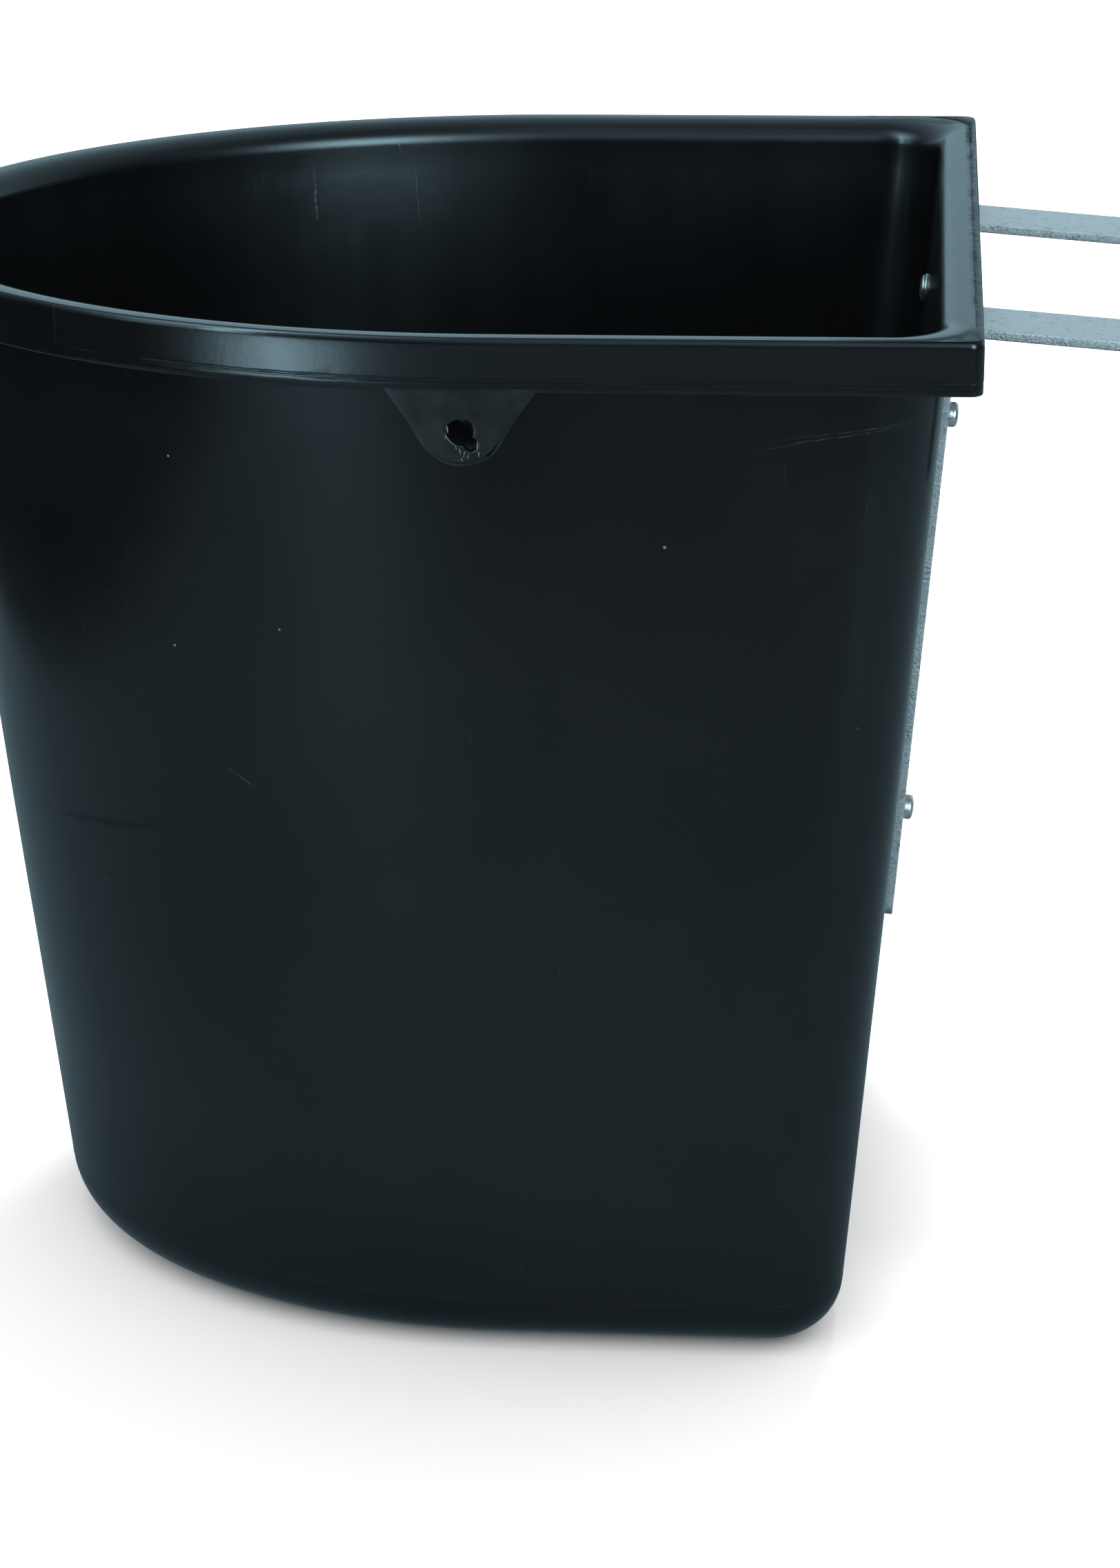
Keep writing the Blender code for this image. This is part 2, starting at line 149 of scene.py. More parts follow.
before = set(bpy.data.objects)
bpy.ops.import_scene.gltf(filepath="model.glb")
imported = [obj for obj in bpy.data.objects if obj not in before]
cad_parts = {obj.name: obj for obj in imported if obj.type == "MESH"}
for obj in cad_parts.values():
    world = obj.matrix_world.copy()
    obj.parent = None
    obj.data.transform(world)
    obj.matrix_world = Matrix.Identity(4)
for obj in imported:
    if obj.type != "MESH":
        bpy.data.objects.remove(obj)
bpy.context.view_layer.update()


# ---------------------------------------------------------------- mesh helpers


def make_piece(name, mesh_data, material, sharp_deg=40):
    bmesh.ops.recalc_face_normals(mesh_data, faces=mesh_data.faces)
    mesh = bpy.data.meshes.new(name)
    mesh_data.to_mesh(mesh)
    mesh_data.free()
    mesh.shade_smooth()
    mesh.set_sharp_from_angle(angle=math.radians(sharp_deg))
    mesh.materials.append(material)
    piece = bpy.data.objects.new(name, mesh)
    bpy.context.scene.collection.objects.link(piece)
    return piece


def skin(mesh_data, rings):
    """Faces between each ring and the next."""
    for first, second in zip(rings, rings[1:]):
        for i in range(len(first)):
            j = (i + 1) % len(first)
            mesh_data.faces.new((first[i], first[j], second[j], second[i]))


def paint(piece, name, value_at):
    """A float attribute on the vertices, from a function of the vertex place."""
    layer = piece.data.attributes.new(name, "FLOAT", "POINT")
    layer.data.foreach_set("value", [value_at(v.co) for v in piece.data.vertices])


def wander(place, scale, seed=0.0):
    """Smooth noise from -1 to 1 at a place, with the given grain size in metres."""
    return noise.noise(Vector(place) / scale + Vector((seed, seed * 1.7, -seed)))


# ---------------------------------------------------------------- bucket outline


def wall_reaches(z):
    drop = HEIGHT - z
    return (
        LIP_BACK - WALL_INSET - BACK_DRAFT * drop,
        LIP_HALF_WIDTH - WALL_INSET - SIDE_DRAFT * drop,
        LIP_FRONT - WALL_INSET - FRONT_DRAFT * drop,
        WALL_CORNER,
    )


def lip_reaches(inset):
    corner = max(LIP_CORNER - inset, 0.6 * MM)
    return LIP_BACK - inset, LIP_HALF_WIDTH - inset, LIP_FRONT - inset, corner


def inset_reaches(reaches, inset, smallest_corner=1 * MM):
    back, half_width, front, corner = reaches
    return back - inset, half_width - inset, front - inset, max(corner - inset, smallest_corner)


def blend_reaches(first, second, share):
    return tuple(a + (b - a) * share for a, b in zip(first, second))


def shrunk(reaches, share):
    return tuple(reach * share for reach in reaches)


def half_outline(reaches):
    back, half_width, front, corner = reaches
    points = []
    for step in range(BACK_STEPS):
        points.append((back, (half_width - corner) * step / BACK_STEPS))
    for step in range(CORNER_STEPS + 1):
        turn = math.radians(90) * step / CORNER_STEPS
        x = back - corner + corner * math.cos(turn)
        y = half_width - corner + corner * math.sin(turn)
        points.append((x, y))
    for step in range(1, SIDE_STEPS):
        points.append(((back - corner) * (1 - step / SIDE_STEPS), half_width))
    for step in range(FRONT_STEPS + 1):
        turn = math.radians(90) * step / FRONT_STEPS
        points.append((-front * math.sin(turn), half_width * math.cos(turn)))
    return points


def outline(reaches):
    half = half_outline(reaches)
    return half + [(x, -y) for x, y in reversed(half[1:-1])]


# ---------------------------------------------------------------- bucket levels


def underside_levels(bottom_reaches):
    """The underside from its middle out: a shallow dished panel inside a flat foot ring."""
    panel = inset_reaches(bottom_reaches, 30 * MM)
    levels = [(shrunk(panel, share), 1.1 * MM) for share in (0.1, 0.5)]
    for inset, z in ((30, 1.1), (25.2, 1.05), (24, 0.6), (22.8, 0.1), (21, 0.0), (8, 0.0)):
        levels.append((inset_reaches(bottom_reaches, inset * MM), z * MM))
    return levels


def base_levels(steps=18):
    start = math.radians(BASE_START_DEG)
    top = BASE_RADIUS * (1 - math.sin(start))
    levels = []
    for step in range(steps + 1):
        turn = math.radians(90) + (start - math.radians(90)) * step / steps
        inset = BASE_RADIUS * (math.cos(start) - math.cos(turn))
        levels.append((inset_reaches(wall_reaches(top), inset), BASE_RADIUS * (1 - math.sin(turn))))
    return levels


def crease_levels(z):
    """The mould's parting line round the top of the base: a fine groove with a raised edge."""
    shape = ((0.25, 0.0), (0.5, 0.12), (0.75, 0.14), (1.0, -0.07), (1.3, -0.05), (1.9, 0.0))
    return [(inset_reaches(wall_reaches(z + up * MM), inset * MM), z + up * MM) for up, inset in shape]


def wall_levels(bottom, top, steps=44):
    heights = [bottom + (top - bottom) * step / steps for step in range(1, steps + 1)]
    return [(wall_reaches(z), z) for z in heights]


def rim_levels():
    web = HEIGHT - RIM_THICKNESS
    foot = HEIGHT - LIP_DEPTH
    band = HEIGHT - LIP_BAND_DEPTH
    levels = [
        (inset_reaches(wall_reaches(web - 2 * MM), -0.1 * MM), web - 1.2 * MM),
        (inset_reaches(wall_reaches(web), -0.5 * MM), web - 0.3 * MM),
        (inset_reaches(wall_reaches(web), -1.4 * MM), web),
        (lip_reaches(SKIRT_THICKNESS + 0.9 * MM), web),
        (lip_reaches(SKIRT_THICKNESS + 0.3 * MM), web - 0.3 * MM),
        (lip_reaches(SKIRT_THICKNESS), web - 0.9 * MM),
        (lip_reaches(SKIRT_THICKNESS), foot + 3 * MM),
        (lip_reaches(SKIRT_THICKNESS), foot + 0.5 * MM),
        (lip_reaches(SKIRT_THICKNESS - 0.15 * MM), foot + 0.15 * MM),
        (lip_reaches(SKIRT_THICKNESS - 0.5 * MM), foot),
        (lip_reaches(LIP_BAND_STEP + 0.6 * MM), foot),
        (lip_reaches(LIP_BAND_STEP + 0.18 * MM), foot + 0.15 * MM),
        (lip_reaches(LIP_BAND_STEP), foot + 0.5 * MM),
        (lip_reaches(LIP_BAND_STEP - 0.05 * MM), band - 0.7 * MM),
        (lip_reaches(LIP_BAND_STEP), band - 0.25 * MM),
        (lip_reaches(LIP_BAND_STEP - 0.1 * MM), band - 0.02 * MM),
        (lip_reaches(0.12 * MM), band + 0.02 * MM),
        (lip_reaches(0.06 * MM), band + 0.25 * MM),
        (lip_reaches(0.08 * MM), band + 0.8 * MM),
    ]
    face_top = HEIGHT - LIP_ROUND_DEPTH
    for step in range(1, 5):
        share = step / 4
        z = band + 0.8 * MM + (face_top - band - 0.8 * MM) * share
        levels.append((lip_reaches(0.06 * MM * (1 - share)), z))
    for step in range(1, 15):
        turn = math.radians(90) * step / 14
        tucked = 1 - math.cos(turn)
        reaches = shoulder_reaches(LIP_BACK_ROUND * tucked, LIP_SIDE_ROUND * tucked, LIP_CORNER)
        levels.append((reaches, face_top + LIP_ROUND_DEPTH * math.sin(turn)))
    return levels


def shoulder_reaches(back_inset, side_inset, corner):
    """The lip drawn in by one amount at the flat back and another round the sides and the front."""
    return LIP_BACK - back_inset, LIP_HALF_WIDTH - side_inset, LIP_FRONT - side_inset, corner


def roll_edge(inset):
    """The line where the roll starts, with far rounder corners than the lip's outer edge."""
    side_inset = LIP_SIDE_ROUND + 0.4 * MM + inset
    return shoulder_reaches(ROLL_START + inset, side_inset, ROLL_CORNER - inset)


def roll_levels(steps=18):
    """A fine step where the two halves of the mould met, then the rolled inner edge."""
    outer = roll_edge(0)
    inner = inset_reaches(wall_reaches(HEIGHT - ROLL_DEPTH), WALL_THICKNESS)
    levels = [
        (roll_edge(-0.35 * MM), HEIGHT),
        (roll_edge(-0.2 * MM), HEIGHT - 0.03 * MM),
        (roll_edge(-0.1 * MM), HEIGHT - 0.26 * MM),
        (roll_edge(0), HEIGHT - 0.28 * MM),
        (roll_edge(0.15 * MM), HEIGHT - 0.12 * MM),
    ]
    for step in range(1, steps + 1):
        turn = math.radians(90) * step / steps
        across = math.sin(turn) ** ROLL_FULLNESS
        drop = ROLL_DEPTH * (1 - math.cos(turn) ** ROLL_FULLNESS)
        if across > 0.05:
            levels.append((blend_reaches(outer, inner, across), HEIGHT - drop))
    return levels


def inner_levels(wall_steps=40, base_steps=14):
    levels = []
    radius = BASE_RADIUS - WALL_THICKNESS
    start = math.radians(BASE_START_DEG)
    bottom = FLOOR_THICKNESS + radius * (1 - math.sin(start))
    top = HEIGHT - ROLL_DEPTH
    for step in range(1, wall_steps + 1):
        z = top + (bottom - top) * step / wall_steps
        levels.append((inset_reaches(wall_reaches(z), WALL_THICKNESS), z))
    wall = inset_reaches(wall_reaches(bottom), WALL_THICKNESS)
    for step in range(1, base_steps + 1):
        turn = start + (math.radians(90) - start) * step / base_steps
        inset = radius * (math.cos(start) - math.cos(turn))
        levels.append((inset_reaches(wall, inset), FLOOR_THICKNESS + radius * (1 - math.sin(turn))))
    edge = levels[-1][0]
    return levels + [(shrunk(edge, share), FLOOR_THICKNESS) for share in (0.95, 0.7, 0.4, 0.1)]


def notch_lift(x, y, z):
    """How far the skirt's foot is raised where a strap passes under it."""
    foot = HEIGHT - LIP_DEPTH
    if x < LIP_BACK - 6 * MM or z > foot + 1.2 * MM or z < foot - 1 * MM:
        return 0.0
    beside = abs(abs(y) - STRAP_Y) - NOTCH_WIDTH / 2
    share = min(max(-beside / (1.5 * MM) + 1, 0.0), 1.0)
    return 1.4 * MM * share * (1 - 0.8 * max(z - foot, 0) / (1.2 * MM))


def uneven(x, y, z):
    """Slight unevenness of the moulding: soft hollows in the walls and a ragged parting edge on the lip's
    band.
    """
    push = 0.22 * MM * wander((x, y, z), 0.09, 3.1) + 0.06 * MM * wander((x, y, z), 0.03, 7.7)
    band = HEIGHT - LIP_BAND_DEPTH
    if z > RIM_ZONE:
        push *= 0.25
    if abs(z - band) < 0.3 * MM:
        push += 0.12 * MM * wander((x, y, 0), 0.004, 1.3)
    return push


def raggedness(x, y):
    """How torn the top parting line is: worst along the back and at its far corner."""
    patchy = max(wander((x, y, 0), 0.012, 9.1), 0.0)
    return 0.15 * patchy + along_back(x) * (0.35 + 0.65 * patchy + (0.5 if y > 0.12 else 0.0))


def along_back(x):
    return min(max((x - 0.095) / 0.03, 0.0), 1.0)


def torn(x, y, z, at_line):
    """A vertex by the top parting line, jagged within the lip's own box."""
    rag = raggedness(x, y) * (1.0 if at_line else 0.5)
    fine = wander((x, y, z), 0.0016, 2.2) + 0.6 * wander((x, y, z), 0.0007, 4.4)
    length = math.hypot(x, y)
    side = 0.32 * MM * rag * wander((x, y, z), 0.0021, 6.6)
    height = min(z + 0.3 * MM * rag * fine, HEIGHT)
    x = max(-LIP_FRONT, min(x + side * x / length, LIP_BACK))
    y = max(-LIP_HALF_WIDTH, min(y + side * y / length, LIP_HALF_WIDTH))
    return x, y, height


def make_bucket(material):
    base = base_levels()
    crease = crease_levels(base[-1][1])
    under_rim = HEIGHT - RIM_THICKNESS - 4 * MM
    outside = underside_levels(base[0][0]) + base + crease
    outside += wall_levels(crease[-1][1], under_rim) + rim_levels()
    levels = outside + roll_levels() + inner_levels()
    mesh_data = bmesh.new()
    inside = mesh_data.verts.layers.float.new("inside")
    parting = mesh_data.verts.layers.float.new("parting")
    strip = mesh_data.verts.layers.float.new("trimmed_strip")
    rings = []
    for index, (reaches, z) in enumerate(levels):
        past = index - len(outside)
        in_line = 0 <= past < PARTING_RINGS
        ring = []
        for x, y in outline(reaches):
            push = uneven(x, y, z)
            length = math.hypot(x, y) or 1.0
            shift = -abs(push) / length if z > RIM_ZONE else push / length
            spot = (x * (1 + shift), y * (1 + shift), z + notch_lift(x, y, z))
            if in_line:
                spot = (spot[0], spot[1], HEIGHT + (z - HEIGHT) * along_back(x))
            if -3 <= past < PARTING_RINGS:
                spot = torn(*spot, past >= 0)
            vert = mesh_data.verts.new(spot)
            vert[inside] = min(max((past - 6) / 10, 0.0), 1.0)
            vert[parting] = raggedness(x, y) if in_line else 0.0
            vert[strip] = along_back(x) if -6 <= past < (9 if y > 0.15 else 3) else 0.0
            ring.append(vert)
        rings.append(ring)
    skin(mesh_data, rings)
    mesh_data.faces.new(rings[0])
    mesh_data.faces.new(rings[-1])
    return make_piece("bucket", mesh_data, material, 50)


# ---------------------------------------------------------------- ears


def ear_edge(turn):
    """Distance from the ear's arc centre to its edge, in a direction measured from straight down."""
    shoulder = EAR_DROP - EAR_RADIUS
    top = shoulder + EAR_ROOT
    reach = math.hypot(EAR_HALF_WIDTH, shoulder)
    tangent = math.atan2(EAR_HALF_WIDTH, -shoulder) - math.acos(EAR_RADIUS / reach)
    turn = abs(turn)
    if turn <= tangent:
        return EAR_RADIUS
    corner = math.atan2(EAR_HALF_WIDTH, -shoulder)
    if turn <= corner:
        share = (turn - tangent) / (corner - tangent)
        hollow = 1 - 0.045 * math.sin(math.pi * share) * share
        return EAR_RADIUS / math.cos(turn - tangent) * hollow
    if turn <= math.atan2(EAR_HALF_WIDTH + EAR_FLARE, -top):
        lean = EAR_FLARE / EAR_ROOT
        return (EAR_HALF_WIDTH - lean * shoulder) / (math.sin(turn) + lean * math.cos(turn))
    return top / -math.cos(turn)


def hole_edge(turn):
    """Distance from the hole's centre to its edge: a round hole with a drip-shaped tear to one side."""
    slot = math.hypot(*EAR_SLOT_OFFSET)
    toward = math.atan2(EAR_SLOT_OFFSET[0], -EAR_SLOT_OFFSET[1])
    off = abs((turn - toward + math.pi) % math.tau - math.pi)
    reach = EAR_HOLE_RADIUS * (1 + 0.05 * math.sin(3 * turn + 0.6))
    if off < math.asin(min(EAR_SLOT_RADIUS / slot, 1.0)):
        drip = slot * math.cos(off) + math.sqrt(EAR_SLOT_RADIUS**2 - (slot * math.sin(off)) ** 2)
        reach = max(reach, drip)
    return reach


def lip_side(x, inset):
    if x >= 0:
        return LIP_HALF_WIDTH - inset
    return (LIP_HALF_WIDTH - inset) * math.sqrt(1 - (x / (LIP_FRONT - inset)) ** 2)


def make_ear(name, side, material, steps=160):
    """A thin lug bent to the lip's curve, with rounded edges and a slightly raised rim at its hole."""
    mesh_data = bmesh.new()
    arc = Vector((EAR_X, HEIGHT - LIP_DEPTH - EAR_DROP + EAR_RADIUS))
    hole = Vector((EAR_X, HEIGHT - LIP_DEPTH - EAR_HOLE_DROP))
    edge_round = 0.5 * MM
    middle = EAR_INSET + EAR_THICKNESS / 2
    half = EAR_THICKNESS / 2
    stations = [("hole", 0.0, half - 0.4 * MM), ("hole", 0.12 * MM, half - 0.1 * MM)]
    stations += [("hole", 0.45 * MM, half + 0.06 * MM), ("hole", 1.1 * MM, half)]
    stations += [("share", s, half) for s in (0.3, 0.5, 0.7, 0.85)]
    stations += [("edge", 1.3 * MM, half), ("edge", edge_round, half - 0.03 * MM)]
    stations += [("edge", 0.15 * MM, half - 0.2 * MM), ("edge", 0.0, half - edge_round)]
    front = []
    for face in (-1, 1):
        loops = []
        for kind, value, depth in stations:
            ring = []
            for step in range(steps):
                turn = math.tau * step / steps
                signed = turn if turn <= math.pi else turn - math.tau
                way = Vector((math.sin(turn), -math.cos(turn)))
                rim = hole + hole_edge(turn) * way
                edge = arc + ear_edge(signed) * way
                span = (edge - rim).length
                share = {"hole": value / span, "share": value, "edge": 1 - value / span}[kind]
                x, z = rim.lerp(edge, share)
                inset = middle + face * depth
                ring.append(mesh_data.verts.new((x, side * lip_side(x, inset), z)))
            loops.append(ring)
        front.append(loops)
    order = front[0] + list(reversed(front[1]))
    order.append(order[0])
    skin(mesh_data, order)
    return make_piece(name, mesh_data, material, 60)


# ---------------------------------------------------------------- flash and slivers


def make_flash(name, spots, material, seed):
    """Ragged slivers of plastic: (place, way along, way it stands, length, height, half thickness)."""
    rng = random.Random(seed)
    mesh_data = bmesh.new()
    for place, way, stand, length, height, thick in spots:
        place, way, stand = Vector(place), Vector(way).normalized(), Vector(stand).normalized()
        across = way.cross(stand).normalized()
        count = max(int(length / (0.35 * MM)), 6)
        rows = []
        for step in range(count + 1):
            share = step / count
            swell = math.sin(math.pi * share) ** 0.6
            tall = height * swell * rng.uniform(0.3, 1.0)
            lean = rng.uniform(-0.5, 0.5) * thick * swell
            wide = thick * (0.25 + swell * rng.uniform(0.4, 0.75))
            centre = place + way * ((share - 0.5) * length + rng.uniform(-0.05, 0.05) * MM)
            tip = centre + stand * tall + across * lean
            foot = centre - stand * 0.25 * MM
            rows.append(
                [
                    mesh_data.verts.new(foot - across * wide),
                    mesh_data.verts.new(tip - across * wide * 0.35),
                    mesh_data.verts.new(tip + across * wide * 0.35),
                    mesh_data.verts.new(foot + across * wide),
                ]
            )
        skin(mesh_data, rows)
        mesh_data.faces.new(rows[0])
        mesh_data.faces.new(rows[-1])
    return make_piece(name, mesh_data, material, 40)


def lip_point(x, side, inset, z):
    return Vector((x, side * lip_side(x, inset), z))


def rim_slivers():
    """Flash along the rim's parting lines, mostly on the near side and at the far left."""
    spots = []
    for x, length, height in ((-0.0005, 11, 0.75), (0.006, 5, 0.5), (-0.034, 3, 0.35), (0.075, 2.5, 0.3)):
        place = lip_point(x, -1, 0.75 * MM, HEIGHT - 0.8 * MM)
        spots.append((place, (1, 0, 0), (0, -0.25, 1), length * MM, height * MM, 0.3 * MM))
    for x, length, height in ((-0.122, 9, 1.5), (-0.113, 6, 1.1), (-0.133, 4, 0.8), (-0.09, 3, 0.6)):
        way = lip_point(x + 0.002, 1, 0, 0) - lip_point(x - 0.002, 1, 0, 0)
        out = Vector((way.y, -way.x, 0)).normalized()
        out = out if out.y > 0 else -out
        place = lip_point(x, 1, 0.35 * MM, HEIGHT - 0.75 * MM)
        spots.append((place, way, out + Vector((0, 0, 0.35)), length * MM, height * MM * 0.5, 0.35 * MM))
    band = HEIGHT - LIP_BAND_DEPTH
    for x, length in (
        (-0.040, 5), (-0.030, 7), (-0.0195, 4), (-0.0105, 3), (0.012, 4), (0.028, 3), (0.064, 5), (0.098, 3),
    ):
        place = lip_point(x, -1, 0.35 * MM, band)
        spots.append((place, (1, 0, 0), (0, -1, -0.4), length * MM, 0.3 * MM, 0.22 * MM))
    return spots


def ear_tears(side):
    """Pale torn threads hanging under the ear's hole."""
    spots = []
    hole_z = HEIGHT - LIP_DEPTH - EAR_HOLE_DROP
    for dx, dz, length, lean in (
        (-1.2, -4.6, 1.9, 0.25), (-0.1, -5.6, 2.2, 0.1), (1.1, -6.3, 2.6, -0.15), (2.2, -7.0, 2.2, -0.2),
        (4.9, -3.7, 3.2, -0.08), (5.3, -6.2, 2.8, 0.1), (-3.7, 0.9, 2.4, 0.15), (-4.1, -1.4, 1.8, -0.1),
        (0.4, -8.1, 1.5, 0.3),
    ):
        place = lip_point(EAR_X + dx * MM, side, EAR_INSET + 0.12 * MM, hole_z + dz * MM)
        spots.append((place, (lean, 0, -1), (0, side, 0), length * MM, 0.32 * MM, 0.2 * MM))
    return spots


# ---------------------------------------------------------------- straps


def crossing(point, way, other_point, other_way):
    gap = other_point - point
    return point + gap.cross(other_way) / way.cross(other_way) * way


def rounded_corner(corner, arriving, leaving, radius, steps=14):
    turn = arriving.angle(leaving)
    setback = radius * math.tan(turn / 2)
    right = Vector((arriving.y, -arriving.x))
    center = corner - setback * arriving + radius * right
    start = math.atan2(-right.y, -right.x)
    points = []
    for step in range(steps + 1):
        angle = start - turn * step / steps
        points.append(center + radius * Vector((math.cos(angle), math.sin(angle))))
    return points


def strap_path():
    tilt = math.atan(BACK_DRAFT)
    slope = math.radians(STRAP_SLOPE_DEG)
    radius = STRAP_BEND_RADIUS + STRAP_THICKNESS / 2
    up = Vector((math.sin(tilt), math.cos(tilt)))
    out = Vector((math.cos(slope), -math.sin(slope)))
    down = Vector((0, -1))
    wall_normal = Vector((math.cos(tilt), -math.sin(tilt)))
    foot = Vector((wall_reaches(STRAP_FOOT)[0], STRAP_FOOT)) + (GAP + STRAP_THICKNESS / 2) * wall_normal
    over = Vector((LIP_BACK, STRAP_TOP)) - STRAP_THICKNESS / 2 * Vector((math.sin(slope), math.cos(slope)))
    bend_corner = crossing(foot, up, over, out)
    hook_corner_x = LIP_BACK + THROAT + STRAP_THICKNESS / 2
    hook_corner = over + out * ((hook_corner_x - over.x) / out.x)
    path = [foot] + rounded_corner(bend_corner, up, out, radius)
    path += rounded_corner(hook_corner, out, down, radius)
    path.append(hook_corner + HOOK_DROP * down)
    return path


def dense_path(path, spacing):
    """The path with its long runs divided, as (point, distance from the start)."""
    dense, run = [(path[0], 0.0)], 0.0
    for first, second in zip(path, path[1:]):
        length = (second - first).length
        count = max(int(length / spacing), 1)
        for step in range(1, count + 1):
            dense.append((first.lerp(second, step / count), run + length * step / count))
        run += length
    return dense


def end_width(distance, corner):
    """Half width of the bar near one of its rounded-off ends."""
    half = STRAP_WIDTH / 2
    if distance >= corner:
        return half
    return half - corner + math.sqrt(max(corner**2 - (corner - distance) ** 2, 0))


def bar_section(half_width, half_thick, radius, steps=5):
    """Points round a flat bar's section with rolled edges: (across, out)."""
    points = []
    for sx, sy in ((1, 1), (-1, 1), (-1, -1), (1, -1)):
        for step in range(steps + 1):
            turn = math.radians(90) * step / steps
            if sx * sy < 0:
                turn = math.radians(90) - turn
            across = sx * (half_width - radius * (1 - math.cos(turn)))
            out = sy * (half_thick - radius * (1 - math.sin(turn)))
            points.append((across, out))
    return points


def make_strap(name, side, material):
    path = dense_path(strap_path(), 1.2 * MM)
    total = path[-1][1]
    stations = []
    for index, (point, run) in enumerate(path):
        before = path[max(index - 1, 0)][0]
        after = path[min(index + 1, len(path) - 1)][0]
        way = (after - before).normalized()
        stations.append((point, Vector((-way.y, way.x)), run))
    mesh_data = bmesh.new()
    rings = []
    y = side * STRAP_Y
    for point, normal, run in stations:
        half = min(end_width(run, STRAP_FOOT_CORNER), end_width(total - run, HOOK_CORNER))
        ring = []
        for across, out in bar_section(half - 0.04 * MM, STRAP_THICKNESS / 2 - 0.02 * MM, STRAP_EDGE_ROLL):
            side_face = abs(across) > half - 0.6 * MM
            rough = 0.05 if side_face else 0.015
            shove = rough * MM * wander((run, across, out), 0.0022, side * 4.0)
            spot = point + normal * (out + shove * (1 if out > 0 else -1) * 0.4)
            aside = math.copysign(min(shove, 0.03 * MM), across)
            ring.append(mesh_data.verts.new((spot.x, y + across + aside, spot.y)))
        rings.append(ring)
    skin(mesh_data, rings)
    mesh_data.faces.new(rings[0])
    mesh_data.faces.new(rings[-1])
    piece = make_piece(name, mesh_data, material, 50)
    half = STRAP_WIDTH / 2

    def sheared(co):
        return min(max((abs(co.y - y) - (half - 0.55 * MM)) / (0.25 * MM), 0.0), 1.0)

    # The band along the rolled corners, where the bar's colour gets a painted highlight
    def cornered(co):
        reach = abs(co.y - y)
        return max(0.0, 1 - abs(reach - (half - 0.3 * MM)) / (0.35 * MM))

    paint(piece, "sheared_edge", sheared)
    paint(piece, "painted_highlight_corner", cornered)
    return piece


# ---------------------------------------------------------------- rivets and washers


def rivet_place(level, strap):
    z = RIVET_HEIGHTS[(level, strap)]
    spot = Vector((wall_reaches(z)[0], SIDES[strap] * STRAP_Y, z))
    return Matrix.Translation(spot) @ Matrix.Rotation(math.pi / 2 + math.atan(BACK_DRAFT), 4, "Y")


def turned(profile, place, steps=56, wobble=0.0, seed=0.0):
    mesh_data = bmesh.new()
    rings = []
    for radius, height in profile:
        if radius == 0:
            rings.append([mesh_data.verts.new((0, 0, height))])
            continue
        ring = []
        for step in range(steps):
            turn = math.tau * step / steps
            out = radius * (1 + wobble * wander((math.cos(turn), math.sin(turn), height * 300), 0.8, seed))
            ring.append(mesh_data.verts.new((out * math.cos(turn), out * math.sin(turn), height)))
        rings.append(ring)
    for first, second in zip(rings, rings[1:]):
        for i in range(steps):
            j = (i + 1) % steps
            if len(first) == 1:
                mesh_data.faces.new((first[0], second[i], second[j]))
            elif len(second) == 1:
                mesh_data.faces.new((first[i], first[j], second[0]))
            else:
                mesh_data.faces.new((first[i], first[j], second[j], second[i]))
    bmesh.ops.transform(mesh_data, matrix=place, verts=mesh_data.verts)
    return mesh_data


def make_rivet(level, strap, material, seed):
    """A set rivet: a pan head with a faint dimple outside, and a formed dome inside."""
    seat = 2 * GAP + STRAP_THICKNESS
    crown = seat + OUTER_HEAD_HEIGHT
    washer_face = -WALL_THICKNESS - 2 * GAP - WASHER_THICKNESS
    profile = [(0, crown - 0.12 * MM), (0.6 * MM, crown - 0.1 * MM), (1.0 * MM, crown - 0.03 * MM)]
    profile += [(1.5 * MM, crown - 0.02 * MM), (2.0 * MM, crown - 0.1 * MM)]
    for step in range(11):
        turn = math.radians(90) * step / 10
        radius = OUTER_HEAD_RADIUS - OUTER_HEAD_ROUND * (1 - math.sin(turn)) - 0.03 * MM
        profile.append((radius, crown - 0.25 * MM - OUTER_HEAD_ROUND * (1 - math.cos(turn))))
    profile += [
        (OUTER_HEAD_RADIUS - 0.03 * MM, seat + 0.35 * MM),
        (OUTER_HEAD_RADIUS - 0.18 * MM, seat + 0.05 * MM),
        (OUTER_HEAD_RADIUS - 0.5 * MM, seat - 0.2 * MM),
        (SHANK_RADIUS, seat - 0.25 * MM),
        (SHANK_RADIUS, washer_face + 0.2 * MM),
        (INNER_HEAD_RADIUS - 0.4 * MM, washer_face + 0.15 * MM),
        (INNER_HEAD_RADIUS - 0.05 * MM, washer_face - 0.05 * MM),
    ]
    dome = INNER_HEAD_HEIGHT * 0.985
    for step in range(1, 12):
        turn = math.radians(90) * step / 12
        radius = (INNER_HEAD_RADIUS - 0.02 * MM) * math.cos(turn)
        profile.append((radius, washer_face - dome * math.sin(turn)))
    profile.append((0, washer_face - dome))
    mesh_data = turned(profile, rivet_place(level, strap), wobble=0.012, seed=seed)
    return make_piece(f"rivet_{level}_{strap}_set", mesh_data, material, 55)


def make_washer(level, strap, material, seed):
    near = -WALL_THICKNESS + 0.05 * MM
    far = -WALL_THICKNESS - GAP - WASHER_THICKNESS
    bore, rim = 2.6 * MM, WASHER_RADIUS - 0.02 * MM
    profile = [(bore, near), (rim - 0.12 * MM, near), (rim, near - 0.14 * MM), (rim, far + 0.25 * MM)]
    profile += [(rim - 0.08 * MM, far + 0.08 * MM), (rim - 0.25 * MM, far), (bore, far), (bore, near)]
    mesh_data = turned(profile, rivet_place(level, strap), wobble=0.006, seed=seed)
    bmesh.ops.remove_doubles(mesh_data, verts=mesh_data.verts, dist=0.001 * MM)
    return make_piece(f"washer_{level}_{strap}_plated", mesh_data, material, 45)


